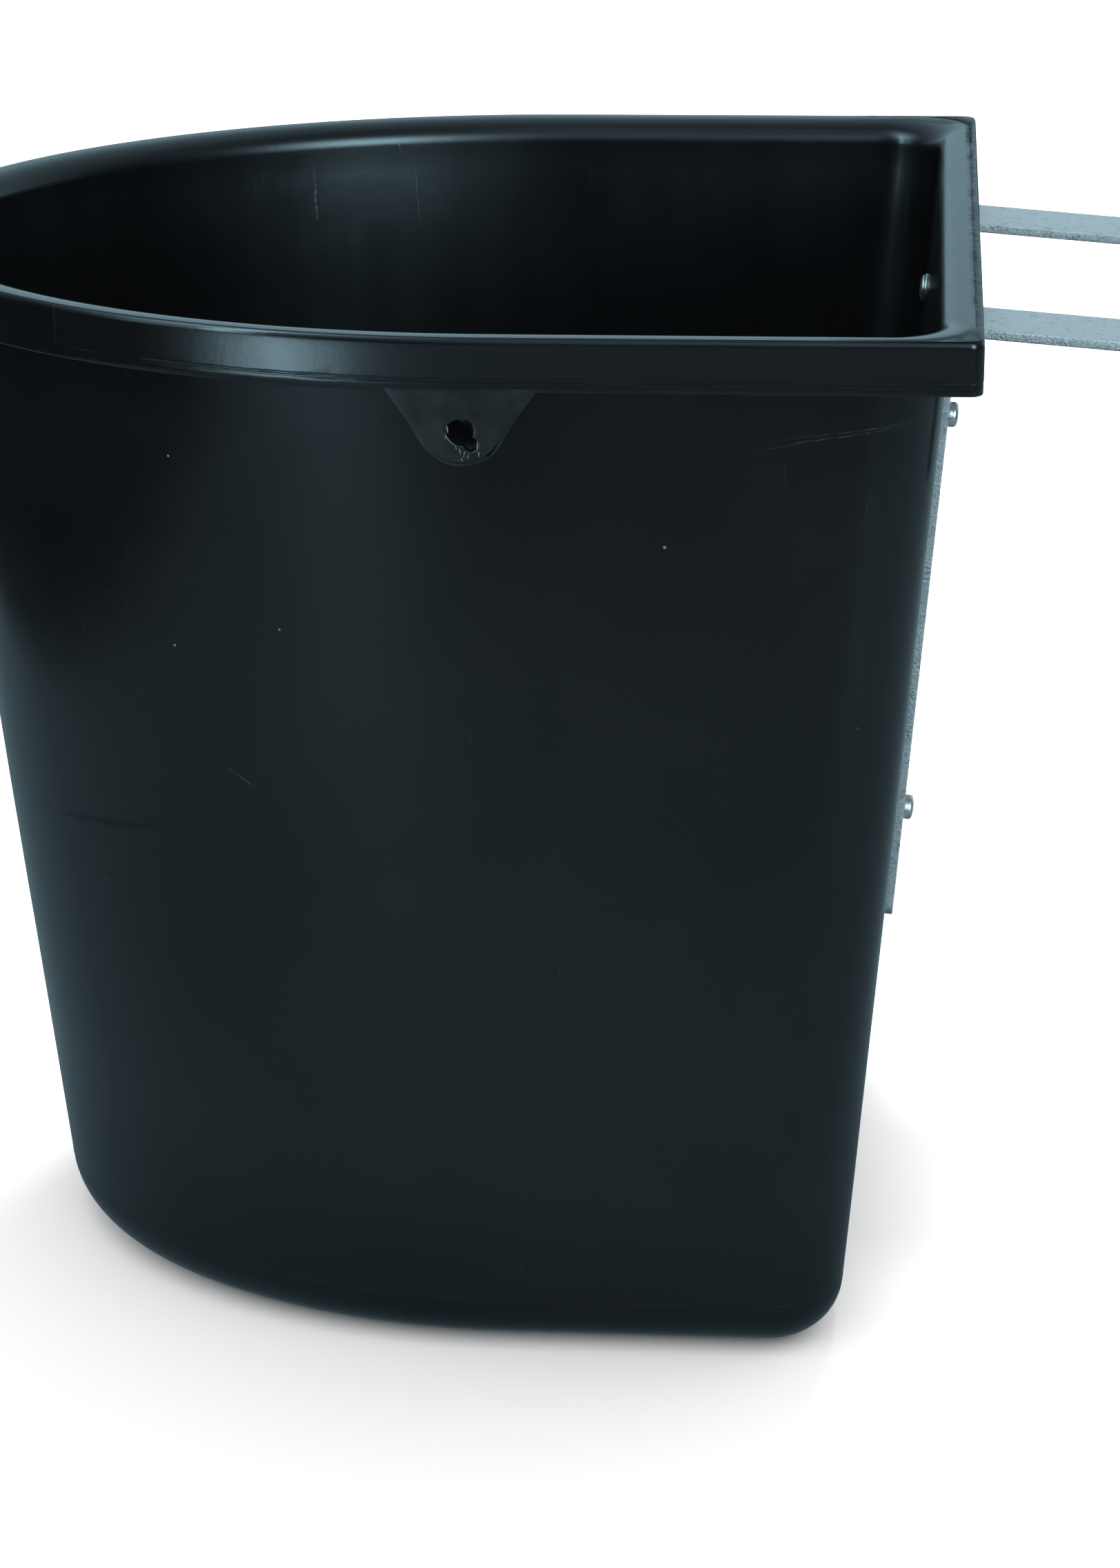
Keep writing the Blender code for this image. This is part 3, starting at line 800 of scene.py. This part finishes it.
# ---------------------------------------------------------------- material helpers


class Nodes:
    """Short calls for building one material's node tree."""

    def __init__(self, name):
        self.material = bpy.data.materials.new(name)
        self.material.use_nodes = True
        self.tree = self.material.node_tree
        self.shader = self.tree.nodes["Principled BSDF"]
        self.place = self.tree.nodes.new("ShaderNodeTexCoord").outputs["Object"]

    def new(self, kind, inputs=None, **settings):
        node = self.tree.nodes.new(kind)
        for key, value in settings.items():
            setattr(node, key, value)
        for key, value in (inputs or {}).items():
            self.put(node.inputs[key], value)
        return node

    def put(self, socket, value):
        """Links a node's output to a socket, or gives the socket a plain value."""
        if hasattr(value, "is_output"):
            self.tree.links.new(value, socket)
        else:
            socket.default_value = value

    def stretched(self, scale):
        return self.new("ShaderNodeMapping", {"Vector": self.place, "Scale": scale}).outputs["Vector"]

    def noise(self, scale, detail=4.0, rough=0.55, vector=None, distortion=0.0):
        inputs = {"Vector": vector or self.place, "Scale": scale, "Detail": detail}
        inputs |= {"Roughness": rough, "Distortion": distortion}
        return self.new("ShaderNodeTexNoise", inputs).outputs["Fac"]

    def ramp(self, value, low, high, out_low=0.0, out_high=1.0):
        node = self.new(
            "ShaderNodeMapRange",
            {"Value": value, "From Min": low, "From Max": high, "To Min": out_low, "To Max": out_high},
        )
        return node.outputs["Result"]

    def math(self, operation, first, second):
        node = self.new("ShaderNodeMath", operation=operation)
        self.put(node.inputs[0], first)
        self.put(node.inputs[1], second)
        return node.outputs[0]

    def times(self, first, second):
        return self.math("MULTIPLY", first, second)

    def plus(self, first, second):
        return self.math("ADD", first, second)

    def minus(self, first, second):
        return self.math("SUBTRACT", first, second)

    def most(self, first, second):
        return self.math("MAXIMUM", first, second)

    def mix(self, share, first, second):
        node = self.new("ShaderNodeMix", data_type="RGBA")
        self.put(node.inputs[0], share)
        for index, value in ((6, first), (7, second)):
            self.put(node.inputs[index], value if hasattr(value, "is_output") else (*value, 1.0))
        return node.outputs[2]

    def soft_mix(self, share, first, second):
        node = self.new("ShaderNodeMix", data_type="FLOAT")
        for index, value in ((0, share), (2, first), (3, second)):
            self.put(node.inputs[index], value)
        return node.outputs[0]

    def bell(self, offsets, width):
        """A bell curve of the distance made of the offsets."""
        total = None
        for offset in offsets:
            square = self.times(offset, offset)
            total = square if total is None else self.plus(total, square)
        return self.math("POWER", math.e, self.times(total, -1 / width**2))

    def glow(self, strength):
        """Ends the tree in a plain emission of this strength, and returns the material."""
        node = self.new("ShaderNodeEmission", {"Strength": strength, "Color": (*STUDIO_TINT, 1)})
        self.tree.links.new(node.outputs[0], self.tree.nodes["Material Output"].inputs["Surface"])
        self.tree.nodes.remove(self.shader)
        return self.material

    def attribute(self, name):
        return self.new("ShaderNodeAttribute", attribute_name=name).outputs["Fac"]

    def bump(self, height, strength, distance, normal=None):
        inputs = {"Height": height, "Strength": strength, "Distance": distance}
        if normal is not None:
            inputs["Normal"] = normal
        return self.new("ShaderNodeBump", inputs).outputs["Normal"]

    def feed(self, socket, value):
        self.tree.links.new(value, self.shader.inputs[socket])

    def set(self, socket, value):
        self.shader.inputs[socket].default_value = value


# Specks on the near wall: (x, z) in metres, with a size in millimetres
SPECKS = ((0.0503, 0.2702, 0.34), (-0.0645, 0.2400, 0.26), (-0.0970, 0.2905, 0.26), (-0.0985, 0.2300, 0.28))
# Lines from (x, z) to (x, z) in metres, with a width in millimetres. The inside ones are on the far wall.
SCUFFS = (((-0.155, 0.1580), (-0.104, 0.1685), 1.2),)
SCUFF_DULLING = 0.8
INSIDE_SCRATCHES = (
    ((-0.0885, 0.3190), (-0.0877, 0.3035), 0.4),
    ((-0.0600, 0.3300), (-0.0592, 0.3240), 0.2),
    ((-0.0545, 0.3190), (-0.0530, 0.2980), 0.12),
)
SCRATCHES = (
    ((0.081, 0.3010), (0.118, 0.3075), 0.16),
    ((0.086, 0.3035), (0.121, 0.3085), 0.1),
    ((-0.083, 0.1930), (-0.0745, 0.1870), 0.2),
)


def scratch_lines(m, x, z, scratches):
    """Wandering, tapering lines between known places, as one mask."""
    lines = None
    for (x0, z0), (x1, z1), width in scratches:
        length = math.hypot(x1 - x0, z1 - z0)
        way_x, way_z = (x1 - x0) / length, (z1 - z0) / length
        from_x, from_z = m.minus(x, (x0 + x1) / 2), m.minus(z, (z0 + z1) / 2)
        along = m.plus(m.times(from_x, way_x), m.times(from_z, way_z))
        across = m.minus(m.times(from_z, way_x), m.times(from_x, way_z))
        bend = m.times(m.minus(m.noise(90.0, 2.0), 0.5), 0.002)
        line = m.bell([m.plus(across, bend)], width * MM)
        line = m.times(line, m.bell([along], length * 0.5))
        lines = line if lines is None else m.most(lines, line)
    return m.times(lines, m.ramp(m.noise(700.0, 3.0), 0.35, 0.6))


def near_marks(m):
    """Specks, scratches and a scuff in known places of the near wall, and scratches inside the far one."""
    split = m.new("ShaderNodeSeparateXYZ", {"Vector": m.place})
    x, y, z = split.outputs["X"], split.outputs["Y"], split.outputs["Z"]
    specks = None
    for at_x, at_z, size in SPECKS:
        bell = m.bell([m.minus(x, at_x), m.minus(z, at_z)], size * MM)
        specks = bell if specks is None else m.most(specks, bell)
    near = m.ramp(y, -0.02, -0.06)
    far_inside = m.times(m.ramp(y, 0.02, 0.06), m.attribute("inside"))
    lines = m.times(scratch_lines(m, x, z, SCRATCHES), near)
    inner_lines = m.times(scratch_lines(m, x, z, INSIDE_SCRATCHES), far_inside)
    scuffs = m.times(scratch_lines(m, x, z, SCUFFS), near)
    return m.times(specks, near), lines, inner_lines, scuffs


def bucket_plastic(name="black_polyethylene", painted_sheen=0.0):
    m = Nodes(name)
    base, dull, dust = (0.0019, 0.0025, 0.0028), (0.0031, 0.0041, 0.0046), (0.045, 0.055, 0.058)
    inside, parting = m.attribute("inside"), m.attribute("parting")
    cloudy = m.ramp(m.noise(9.0, 5.0, 0.6), 0.35, 0.72)
    streaks = m.noise(1.0, 3.0, 0.6, m.stretched((55, 55, 5)))
    color = m.mix(cloudy, base, dull)
    # Fine scratches: mostly upright, a few slanting, with more of them inside but paler there
    upright = m.ramp(m.noise(1.0, 2.0, 0.7, m.stretched((900, 900, 11)), 0.3), 0.65, 0.73)
    patch = m.ramp(m.plus(m.noise(22.0, 2.0), m.times(inside, 0.1)), 0.5, 0.66)
    hairlines = m.times(upright, patch)
    slant = {"Vector": m.place, "Rotation": (0.4, 1.15, 0.3), "Scale": (700, 700, 9)}
    slanted_place = m.new("ShaderNodeMapping", slant).outputs["Vector"]
    slanted = m.ramp(m.noise(1.0, 2.0, 0.7, slanted_place, 0.2), 0.69, 0.76)
    hairlines = m.most(hairlines, m.times(slanted, m.ramp(m.noise(13.0, 2.0), 0.56, 0.7)))
    hairlines = m.times(hairlines, m.ramp(inside, 0.0, 1.0, 0.35, 0.22))
    color = m.mix(m.times(hairlines, 0.3), color, dust)
    # Dust specks and tiny nicks
    specks = m.new("ShaderNodeTexVoronoi", {"Vector": m.place, "Scale": 60.0, "Randomness": 1.0})
    rare = m.new("ShaderNodeTexWhiteNoise", {"Vector": specks.outputs["Position"]}).outputs["Value"]
    speck = m.times(m.ramp(specks.outputs["Distance"], 0.03, 0.012), m.ramp(rare, 0.86, 0.9))
    near_specks, near_lines, inner_lines, scuffs = near_marks(m)
    color = m.mix(m.times(speck, 0.5), color, (0.12, 0.14, 0.15))
    color = m.mix(near_specks, color, (0.17, 0.19, 0.2))
    color = m.mix(m.times(near_lines, 0.3), color, (0.06, 0.075, 0.08))
    color = m.mix(m.times(inner_lines, 0.8), color, (0.085, 0.10, 0.105))
    # A pale mottled smear for the ears: a painted sheen that makes them look lighter than the wall
    if painted_sheen:
        smear = m.ramp(m.noise(110.0, 5.0, 0.7), 0.36, 0.66, 0.2 * painted_sheen, 2.2 * painted_sheen)
        color = m.mix(smear, color, (0.026, 0.039, 0.045))
    # Near-black, rougher, bumped nicks along the torn parting line
    torn_nicks = m.times(parting, m.ramp(m.noise(650.0, 4.0, 0.75), 0.34, 0.52))
    color = m.mix(torn_nicks, color, (0.002, 0.002, 0.002))
    m.feed("Base Color", color)
    rough = m.plus(m.ramp(cloudy, 0.0, 1.0, 0.15, 0.2), m.ramp(streaks, 0.3, 0.7, -0.015, 0.02))
    rough = m.plus(rough, m.times(hairlines, 0.18))
    rough = m.plus(rough, m.times(inside, 0.05))
    rough = m.plus(rough, m.plus(m.times(torn_nicks, 0.4), 0.07 * (painted_sheen > 0)))
    m.feed("Roughness", rough)
    peel = m.bump(m.noise(420.0, 3.0, 0.6), 0.05, 0.0005)
    dents = m.bump(m.noise(26.0, 2.0, 0.5), 0.12, 0.0012, peel)
    cut = m.most(hairlines, m.most(m.most(near_lines, inner_lines), torn_nicks))
    m.feed("Normal", m.bump(cut, 0.25, 0.0002, dents))
    m.set("IOR", 1.5)
    if not painted_sheen:
        # The strip outside the parting line was trimmed with a knife, so it is dull, and so is a scuff
        trimmed = m.times(m.attribute("trimmed_strip"), m.ramp(m.noise(300.0, 3.0), 0.3, 0.6, 0.7, 1.0))
        dulled = m.most(trimmed, m.times(scuffs, SCUFF_DULLING))
        m.feed("Specular IOR Level", m.ramp(dulled, 0.0, 1.0, 0.5, 0.05))
    return m.material


def torn_plastic():
    """Stretched, whitened plastic, where the moulding was torn or cut."""
    m = Nodes("torn_polyethylene")
    fibre = m.ramp(m.noise(1800.0, 3.0, 0.7), 0.35, 0.65)
    m.feed("Base Color", m.mix(fibre, (0.07, 0.085, 0.09), (0.26, 0.30, 0.31)))
    m.feed("Roughness", m.ramp(fibre, 0.0, 1.0, 0.35, 0.6))
    m.feed("Normal", m.bump(fibre, 0.4, 0.0002))
    return m.material


def strap_zinc():
    m = Nodes("zinc_plated_bar")
    edge, corner = m.attribute("sheared_edge"), m.attribute("painted_highlight_corner")
    rolled = m.noise(1.0, 4.0, 0.6, m.stretched((30, 700, 30)))
    cloudy = m.noise(45.0, 4.0, 0.55)
    face = m.mix(m.ramp(cloudy, 0.3, 0.7), (0.46, 0.432, 0.430), (0.48, 0.452, 0.45))
    face = m.mix(m.ramp(rolled, 0.42, 0.7, 0.0, 0.2), face, (0.515, 0.485, 0.48))
    pits = m.ramp(m.noise(260.0, 5.0, 0.7), 0.68, 0.75, 0.0, 0.15)
    face = m.mix(pits, face, (0.33, 0.34, 0.345))
    mottle = m.ramp(m.noise(1100.0, 4.0, 0.75), 0.34, 0.6)
    cut = m.mix(mottle, (0.05, 0.044, 0.043), (0.36, 0.315, 0.305))
    color = m.mix(edge, face, cut)
    # A painted highlight: near-white streaks along the bar's rolled corners
    shine = m.times(corner, m.ramp(m.noise(350.0, 3.0, 0.7), 0.26, 0.46))
    color = m.mix(shine, color, (0.95, 0.93, 0.92))
    m.feed("Base Color", color)
    rough = m.plus(m.ramp(cloudy, 0.3, 0.7, 0.3, 0.38), m.times(edge, 0.12))
    m.feed("Roughness", rough)
    m.set("Metallic", 0.95)
    fine = m.bump(rolled, 0.05, 0.0003)
    m.feed("Normal", m.bump(m.times(mottle, edge), 0.35, 0.0003, fine))
    return m.material


def bright_metal(name, light, dark, rough_low, rough_high):
    m = Nodes(name)
    cloudy = m.noise(500.0, 4.0, 0.65)
    m.feed("Base Color", m.mix(m.ramp(cloudy, 0.35, 0.68), light, dark))
    m.feed("Roughness", m.ramp(m.noise(900.0, 3.0, 0.6), 0.3, 0.7, rough_low, rough_high))
    m.set("Metallic", 1.0)
    hammered = m.bump(m.noise(700.0, 2.0, 0.5), 0.25, 0.0003)
    m.feed("Normal", m.bump(m.noise(2500.0, 2.0, 0.5), 0.1, 0.0001, hammered))
    return m.material


# ---------------------------------------------------------------- studio


def make_floor():
    mesh_data = bmesh.new()
    bmesh.ops.create_grid(mesh_data, x_segments=8, y_segments=8, size=FLOOR_SIZE)
    m = Nodes("pale_floor")
    tone = m.ramp(m.noise(3.0, 2.0), 0.3, 0.7)
    m.feed("Base Color", m.mix(tone, (0.90, 0.90, 0.90), (0.915, 0.915, 0.915)))
    m.feed("Roughness", m.ramp(tone, 0.0, 1.0, 0.85, 0.95))
    m.set("Specular IOR Level", 0.1)
    floor = make_piece("floor", mesh_data, m.material)
    floor.location.z = -FLOOR_DROP
    return floor


def make_world():
    world = bpy.data.worlds.new("studio")
    bpy.context.scene.world = world
    world.use_nodes = True
    background = world.node_tree.nodes["Background"]
    background.inputs["Color"].default_value = (1, 1, 1, 1)
    background.inputs["Strength"].default_value = WORLD_STRENGTH


def make_softbox(name, place, target, size, power):
    light = bpy.data.lights.new(name, "AREA")
    light.shape = "RECTANGLE"
    light.size, light.size_y = size
    light.energy = power
    lamp = bpy.data.objects.new(name, light)
    bpy.context.scene.collection.objects.link(lamp)
    lamp.location = place
    lamp.rotation_euler = (Vector(target) - Vector(place)).to_track_quat("-Z", "Y").to_euler()
    lamp.visible_camera = False
    lamp.visible_glossy = False
    return lamp


def light_patch(m, x, y, patch):
    at_x, at_y, spread, strength = patch
    return m.times(m.bell([m.minus(x, at_x), m.minus(y, at_y)], spread), strength)


def reflected_floor():
    """How bright the reflections see the floor: paler by the softboxes, dark past the table's edge, with a
    painted shadow round the bucket's foot.
    """
    m = Nodes("reflected_floor")
    split = m.new("ShaderNodeSeparateXYZ", {"Vector": m.place})
    x, y = split.outputs["X"], split.outputs["Y"]
    ahead = m.math("MINIMUM", y, 0.0)
    edge_out = m.plus(m.times(ahead, 0.12), -0.645)
    edge_in = m.plus(m.times(ahead, 0.02), -0.6)
    table = m.ramp(x, edge_out, edge_in, 0.04, 1.0)
    front = m.ramp(y, -0.95, -0.35, 0.12, 0.31)
    base = m.times(m.soft_mix(m.ramp(x, -0.3, -0.08), 0.25, front), table)
    base = m.plus(base, m.ramp(y, -1.0, -1.35, 0.0, 0.16))
    middle = m.plus(m.times(y, 0.6), 0.06)
    ridge = m.bell([m.minus(x, middle)], 0.14)
    ridge = m.times(ridge, m.ramp(y, -0.8, -0.2, 0.24, 0.03))
    ridge = m.times(ridge, m.ramp(y, -1.2, -0.95))
    lobe, hot = light_patch(m, x, y, FAINT_PATCH), light_patch(m, x, y, BRIGHT_PATCH)
    reach = m.new("ShaderNodeVectorMath", {0: m.place}, operation="LENGTH").outputs["Value"]
    total = m.plus(m.plus(base, ridge), lobe)
    squeezed = m.new("ShaderNodeVectorMath", {0: m.place, 1: (0.85, 1.0, 0.0)}, operation="MULTIPLY")
    footprint = squeezed.outputs["Vector"]
    beyond = m.new("ShaderNodeVectorMath", {0: footprint}, operation="LENGTH").outputs["Value"]
    # Half as bright round the bucket's foot: a painted shadow in the reflected floor
    total = m.times(total, m.ramp(beyond, 0.13, 0.22, 0.5, 1.0))
    total = m.times(total, m.ramp(reach, 1.5, 2.3, 0.86, 0.09))
    aside = m.plus(m.times(x, -0.80), m.times(y, 0.6))
    trail = m.bell([m.math("DIVIDE", aside, reach)], 0.15)
    trail = m.times(m.times(trail, m.ramp(reach, 1.3, 1.8)), 1.5)
    return m.glow(m.plus(m.plus(total, hot), trail))


def reflected_room():
    """How bright the reflections see the room: dark low in front, white behind, softboxes above."""
    m = Nodes("reflected_room")
    way = m.new("ShaderNodeVectorMath", {0: m.place}, operation="NORMALIZE").outputs["Vector"]
    split = m.new("ShaderNodeSeparateXYZ", {"Vector": way})
    x, y, z = split.outputs["X"], split.outputs["Y"], split.outputs["Z"]
    behind = m.ramp(y, -0.1, 0.5, 0.0, 1.0)
    low = m.soft_mix(behind, 0.03, 0.65)
    high = m.soft_mix(behind, 0.22, 0.47)
    total = m.soft_mix(m.ramp(z, 0.1, 0.7), low, high)
    # Two tall softboxes to the left of the camera, and broad ones above and beside it
    for across_x, across_y, width, strength in TALL_SOFTBOXES:
        across = m.plus(m.times(x, across_x), m.times(y, across_y))
        upright = m.times(m.ramp(z, 0.0, 0.06), m.ramp(z, 0.75, 0.6))
        tall = m.times(m.bell([across], width), upright)
        tall = m.times(tall, m.ramp(y, 0.0, -0.2))
        total = m.plus(total, m.times(tall, strength))
    for (at_x, at_y, at_z), narrowing, spread, strength in BROAD_SOFTBOXES:
        across = m.times(m.minus(x, at_x), narrowing)
        broad = m.bell([across, m.minus(y, at_y), m.minus(z, at_z)], spread)
        total = m.plus(total, m.times(broad, strength))
    return m.glow(total)


def make_reflection_room():
    """A table and a dome that only reflections see, as studio cards do that stand outside the view."""
    table = bmesh.new()
    bmesh.ops.create_circle(table, cap_ends=True, segments=96, radius=CARD_RADIUS)
    dome = bmesh.new()
    bmesh.ops.create_uvsphere(dome, u_segments=64, v_segments=32, radius=CARD_RADIUS)
    below = [v for v in dome.verts if v.co.z < -0.01]
    bmesh.ops.delete(dome, geom=below, context="VERTS")
    for name, mesh_data, material in (
        ("table_card", table, reflected_floor()),
        ("room_card", dome, reflected_room()),
    ):
        card = make_piece(name, mesh_data, material)
        card.location.z = -CARD_DROP
        for ray in ("camera", "diffuse", "shadow", "transmission", "volume_scatter"):
            setattr(card, f"visible_{ray}", False)


def make_camera():
    camera = bpy.data.cameras.new("camera")
    camera.sensor_width = 36
    camera.lens = CAMERA_LENS
    eye = bpy.data.objects.new("camera", camera)
    bpy.context.scene.collection.objects.link(eye)
    eye.matrix_world = (
        Matrix.Translation(CAMERA_PLACE)
        @ Matrix.Rotation(math.radians(CAMERA_YAW_DEG), 4, "Z")
        @ Matrix.Rotation(math.radians(90 - CAMERA_PITCH_DEG), 4, "X")
        @ Matrix.Rotation(math.radians(CAMERA_ROLL_DEG), 4, "Z")
    )
    bpy.context.scene.camera = eye


# ---------------------------------------------------------------- build


def add(piece, slot, *nodes):
    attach(piece, "root")
    if nodes:
        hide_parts(*nodes)


def build_object():
    plastic = bucket_plastic()
    bucket = make_bucket(plastic)
    add(bucket, "bucket_plastic", "bucket_shell")
    # The ears' plastic carries a painted sheen
    painted_sheen, torn_ends = bucket_plastic("sheen_painted_polyethylene", 0.09), torn_plastic()
    for name, side in SIDES.items():
        add(make_ear(f"ear_{name}", side, painted_sheen), "bucket_plastic")
        add(make_flash(f"ear_tears_{name}", ear_tears(side), torn_ends, 11), "bucket_plastic")
    add(make_flash("rim_slivers", rim_slivers(), plastic, 5), "bucket_plastic")
    zinc = strap_zinc()
    for name, side in SIDES.items():
        strap = make_strap(f"strap_{name}", side, zinc)
        add(strap, "strap_zinc", f"hanger_strap_{name}")
    aluminium = bright_metal("bright_aluminium", (0.90, 0.81, 0.78), (0.62, 0.56, 0.54), 0.24, 0.38)
    steel = bright_metal("plated_washer", (0.60, 0.61, 0.62), (0.38, 0.39, 0.40), 0.28, 0.4)
    for index, (level, strap) in enumerate(RIVET_HEIGHTS):
        add(make_rivet(level, strap, aluminium, index * 2.3), "rivet_metal", f"rivet_{level}_{strap}")
        add(make_washer(level, strap, steel, index * 3.1), "washer_steel", f"washer_{level}_{strap}")


def main():
    bpy.context.scene.view_settings.view_transform = "Standard"
    build_object()
    make_floor()
    make_world()
    make_camera()
    make_reflection_room()
    make_softbox("top_softbox", TOP_SOFTBOX_PLACE, TOP_SOFTBOX_TARGET, TOP_SOFTBOX_SIZE, TOP_SOFTBOX_POWER)


main()
